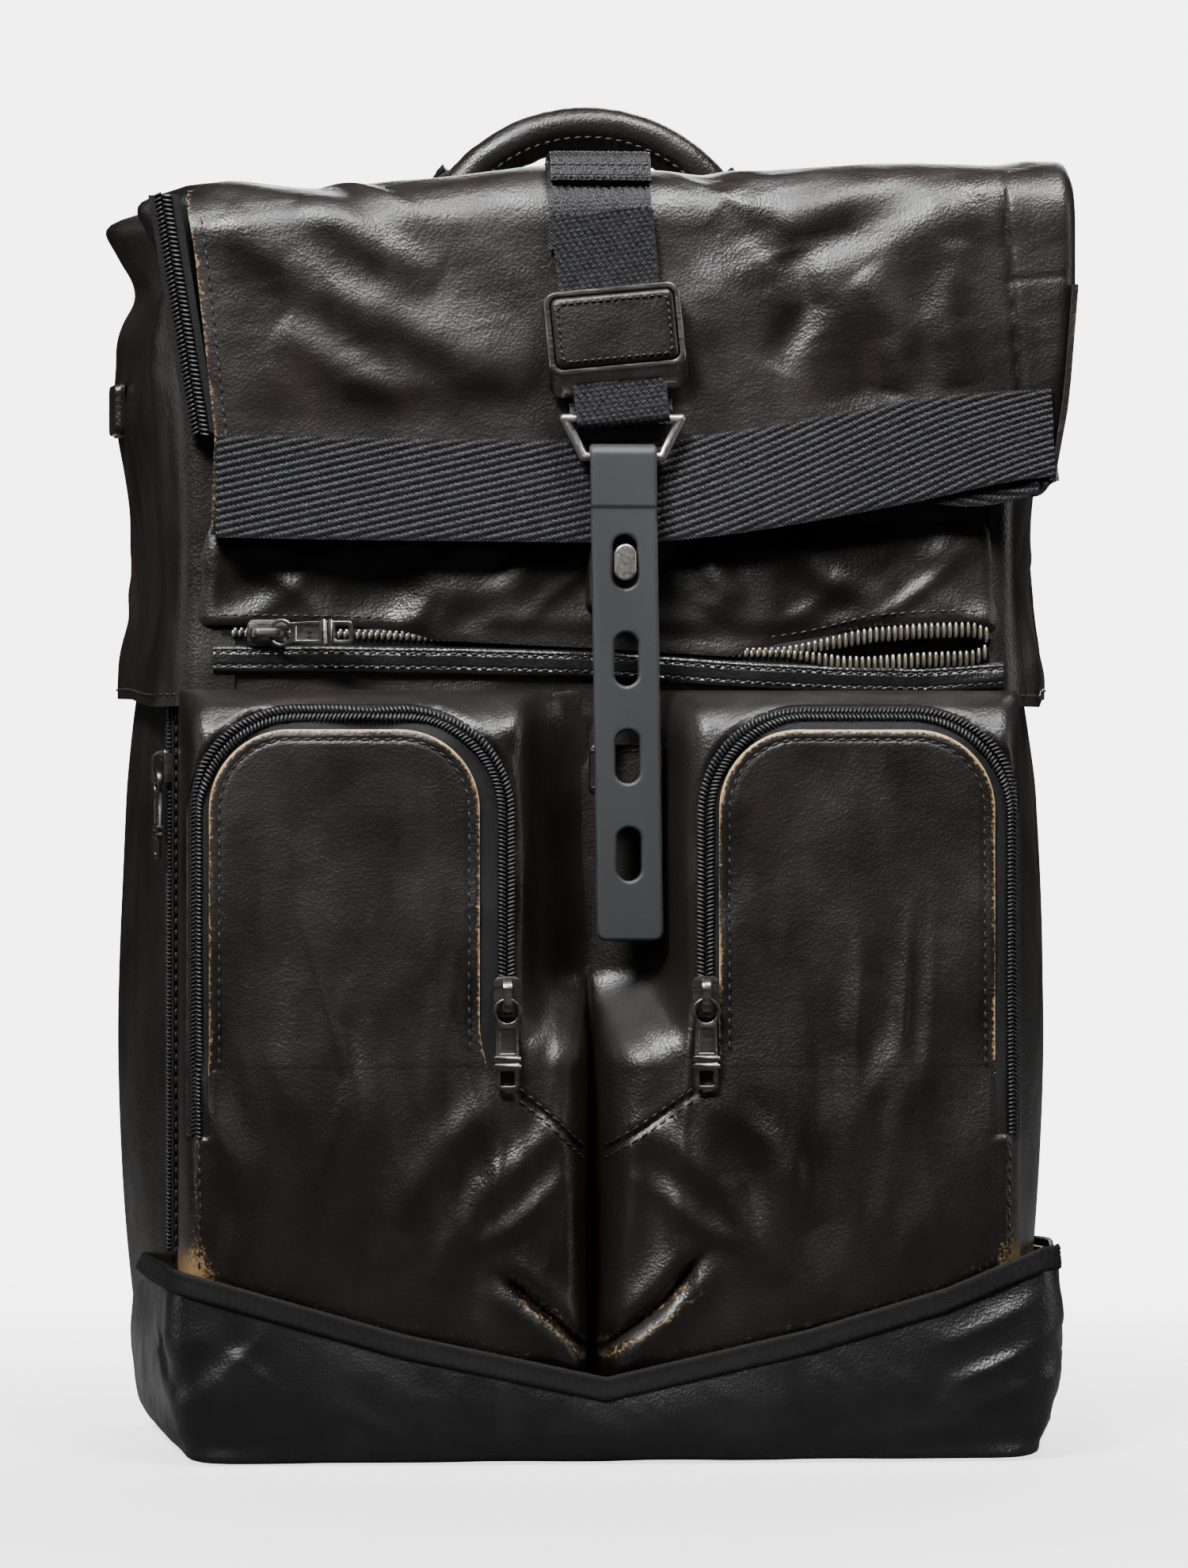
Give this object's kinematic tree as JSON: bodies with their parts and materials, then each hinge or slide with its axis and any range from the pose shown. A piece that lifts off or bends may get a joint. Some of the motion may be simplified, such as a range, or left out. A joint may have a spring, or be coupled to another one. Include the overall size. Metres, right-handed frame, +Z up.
{
  "type": "leather backpack",
  "caption": "Roll-top leather backpack with twin zipped front pockets, a webbing and rubber strap closure, padded back, shoulder straps and a grab handle.",
  "frame": {"origin": "on the floor under the middle of the main body", "axes": "+X to the right seen from the front, +Y towards the back panel and wearer, +Z up; the pockets face -Y"},
  "size_m": [0.3576, 0.1978, 0.5158],
  "materials": {
    "black_leather": "waxed, worn at the edges",
    "boot_leather": "waxed, creased",
    "webbing": "twill webbing",
    "zip_tape": "woven tape with nylon coil",
    "lining": "plain woven cotton",
    "mesh": "spacer mesh over foam",
    "brass_teeth": "antiqued",
    "gunmetal": "dark satin plating",
    "nickel": "satin nickel",
    "rubber": "matte, dusty",
    "board": "fibre board",
    "plastic": "moulded"
  },
  "bodies": {
    "bag": {"front_wall": "black_leather", "left_gusset": "black_leather", "right_gusset": "black_leather", "left_side_panel": "black_leather", "right_side_panel": "black_leather", "front_zip_welt": "black_leather", "left_pocket": "black_leather", "right_pocket": "black_leather", "front_placket": "black_leather", "keeper_tab": "black_leather", "strap_yoke": "black_leather", "handle_anchors": "black_leather", "lower_anchors": "black_leather", "side_tabs": "black_leather", "base_boot": "boot_leather", "base_tape": "webbing", "front_zip_tape": "zip_tape", "left_pocket_zip": "zip_tape", "right_pocket_zip": "zip_tape", "side_zip": "zip_tape", "main_lining": "lining", "laptop_divider": "lining", "back_panel": "mesh", "left_back_pad": "mesh", "right_back_pad": "mesh", "lumbar_pad": "mesh", "front_zip_teeth": "brass_teeth", "side_rings": "gunmetal", "strap_stud": "nickel", "base_board": "board", "frame_sheet": "board"},
    "crown": {"crown_panel": "black_leather", "crown_webbing": "webbing"},
    "flap": {"flap_panel": "black_leather", "flap_band": "webbing", "flap_zip": "zip_tape"},
    "closure": {"closure_webbing": "webbing"},
    "buckle": {"buckle_frame": "gunmetal", "buckle_inlay": "black_leather"},
    "ring": {"strap_ring": "nickel"},
    "slotted_strap": {"rubber_strap": "rubber"},
    "left_door": {"left_pocket_door": "black_leather"},
    "right_door": {"right_pocket_door": "black_leather"},
    "handle": {"handle_grip": "black_leather", "handle_webbing": "webbing"},
    "left_strap": {"left_shoulder_strap": "mesh", "left_strap_adjuster": "plastic"},
    "right_strap": {"right_shoulder_strap": "mesh", "right_strap_adjuster": "plastic"},
    "left_tail": {"left_lower_webbing": "webbing"},
    "right_tail": {"right_lower_webbing": "webbing"},
    "left_pocket_zip_slider": {"left_pocket_slider": "nickel"},
    "left_pocket_zip_pull": {"left_pocket_pull": "nickel"},
    "right_pocket_zip_slider": {"right_pocket_slider": "nickel"},
    "right_pocket_zip_pull": {"right_pocket_pull": "nickel"},
    "front_zip_slider": {"front_slider": "nickel"},
    "front_zip_pull": {"front_pull": "nickel"},
    "side_zip_slider": {"side_slider": "nickel"},
    "side_zip_pull": {"side_pull": "nickel"}
  },
  "joints": [
    {"name": "crown_fold", "type": "hinge", "parent": "bag", "child": "crown", "pos_m": [0, 0.056, 0.468], "axis": [-1, 0, 0], "range_deg": [0, 90]},
    {"name": "flap_fold", "type": "hinge", "parent": "crown", "child": "flap", "pos_m": [0, -0.06, 0.468], "axis": [-1, 0, 0], "range_deg": [0, 90]},
    {"name": "closure_lift", "type": "hinge", "parent": "flap", "child": "closure", "pos_m": [-0.001, -0.0826, 0.4675], "axis": [-1, 0, 0], "range_deg": [0, 60]},
    {"name": "buckle_slide", "type": "slide", "parent": "closure", "child": "buckle", "axis": [-0.0983, 0, 0.9952], "range_m": [0, 0.022]},
    {"name": "ring_swing", "type": "hinge", "parent": "closure", "child": "ring", "pos_m": [0.0072, -0.0862, 0.385], "axis": [-1, 0, 0], "range_deg": [0, 30]},
    {"name": "strap_swing", "type": "hinge", "parent": "ring", "child": "slotted_strap", "pos_m": [0.0072, -0.0863, 0.371], "axis": [-1, 0, 0], "range_deg": [0, 50]},
    {"name": "left_door_fold", "type": "hinge", "parent": "bag", "child": "left_door", "pos_m": [-0.093, -0.1032, 0.1412], "axis": [1, 0, 0], "range_deg": [0, 80]},
    {"name": "right_door_fold", "type": "hinge", "parent": "bag", "child": "right_door", "pos_m": [0.093, -0.1032, 0.1412], "axis": [1, 0, 0], "range_deg": [0, 80]},
    {"name": "left_pocket_zip_run", "type": "slide", "parent": "bag", "child": "left_pocket_zip_slider", "axis": [0, 0, 1], "range_m": [0, 0.06]},
    {"name": "left_pocket_pull_swing", "type": "hinge", "parent": "left_pocket_zip_slider", "child": "left_pocket_zip_pull", "pos_m": [-0.0365, -0.1072, 0.171], "axis": [-1, 0, 0], "range_deg": [0, 90]},
    {"name": "right_pocket_zip_run", "type": "slide", "parent": "bag", "child": "right_pocket_zip_slider", "axis": [0, 0, 1], "range_m": [0, 0.06]},
    {"name": "right_pocket_pull_swing", "type": "hinge", "parent": "right_pocket_zip_slider", "child": "right_pocket_zip_pull", "pos_m": [0.0365, -0.1072, 0.171], "axis": [-1, 0, 0], "range_deg": [0, 90]},
    {"name": "front_zip_run", "type": "slide", "parent": "bag", "child": "front_zip_slider", "axis": [1, 0, 0], "range_m": [0, 0.24]},
    {"name": "front_pull_swing", "type": "hinge", "parent": "front_zip_slider", "child": "front_zip_pull", "pos_m": [-0.123, -0.0718, 0.306], "axis": [0, 0, -1], "range_deg": [-22, 68]},
    {"name": "side_zip_run", "type": "slide", "parent": "bag", "child": "side_zip_slider", "axis": [0, 0, -1], "range_m": [0, 0.14]},
    {"name": "side_pull_swing", "type": "hinge", "parent": "side_zip_slider", "child": "side_zip_pull", "pos_m": [-0.16478, -0.04708, 0.255], "axis": [-0.1595, 0.9872, 0], "range_deg": [0, 90]},
    {"name": "handle_swing", "type": "hinge", "parent": "bag", "child": "handle", "pos_m": [0, 0.08, 0.466], "axis": [-1, 0, 0], "range_deg": [0, 80]},
    {"name": "left_strap_swing", "type": "hinge", "parent": "bag", "child": "left_strap", "pos_m": [-0.066, 0.072, 0.436], "axis": [1, 0, 0], "range_deg": [0, 10]},
    {"name": "left_tail_swing", "type": "hinge", "parent": "bag", "child": "left_tail", "pos_m": [-0.156, 0.08, 0.058], "axis": [-1, 0, 0], "range_deg": [0, 28]},
    {"name": "right_strap_swing", "type": "hinge", "parent": "bag", "child": "right_strap", "pos_m": [0.066, 0.072, 0.436], "axis": [1, 0, 0], "range_deg": [0, 10]},
    {"name": "right_tail_swing", "type": "hinge", "parent": "bag", "child": "right_tail", "pos_m": [0.156, 0.08, 0.058], "axis": [-1, 0, 0], "range_deg": [0, 28]}
  ],
  "couplings": [
    {"joint": "flap_fold", "follows": "crown_fold", "ratio": 1},
    {"joint": "left_tail_swing", "follows": "left_strap_swing", "ratio": 2.8},
    {"joint": "right_tail_swing", "follows": "right_strap_swing", "ratio": 2.8}
  ]
}
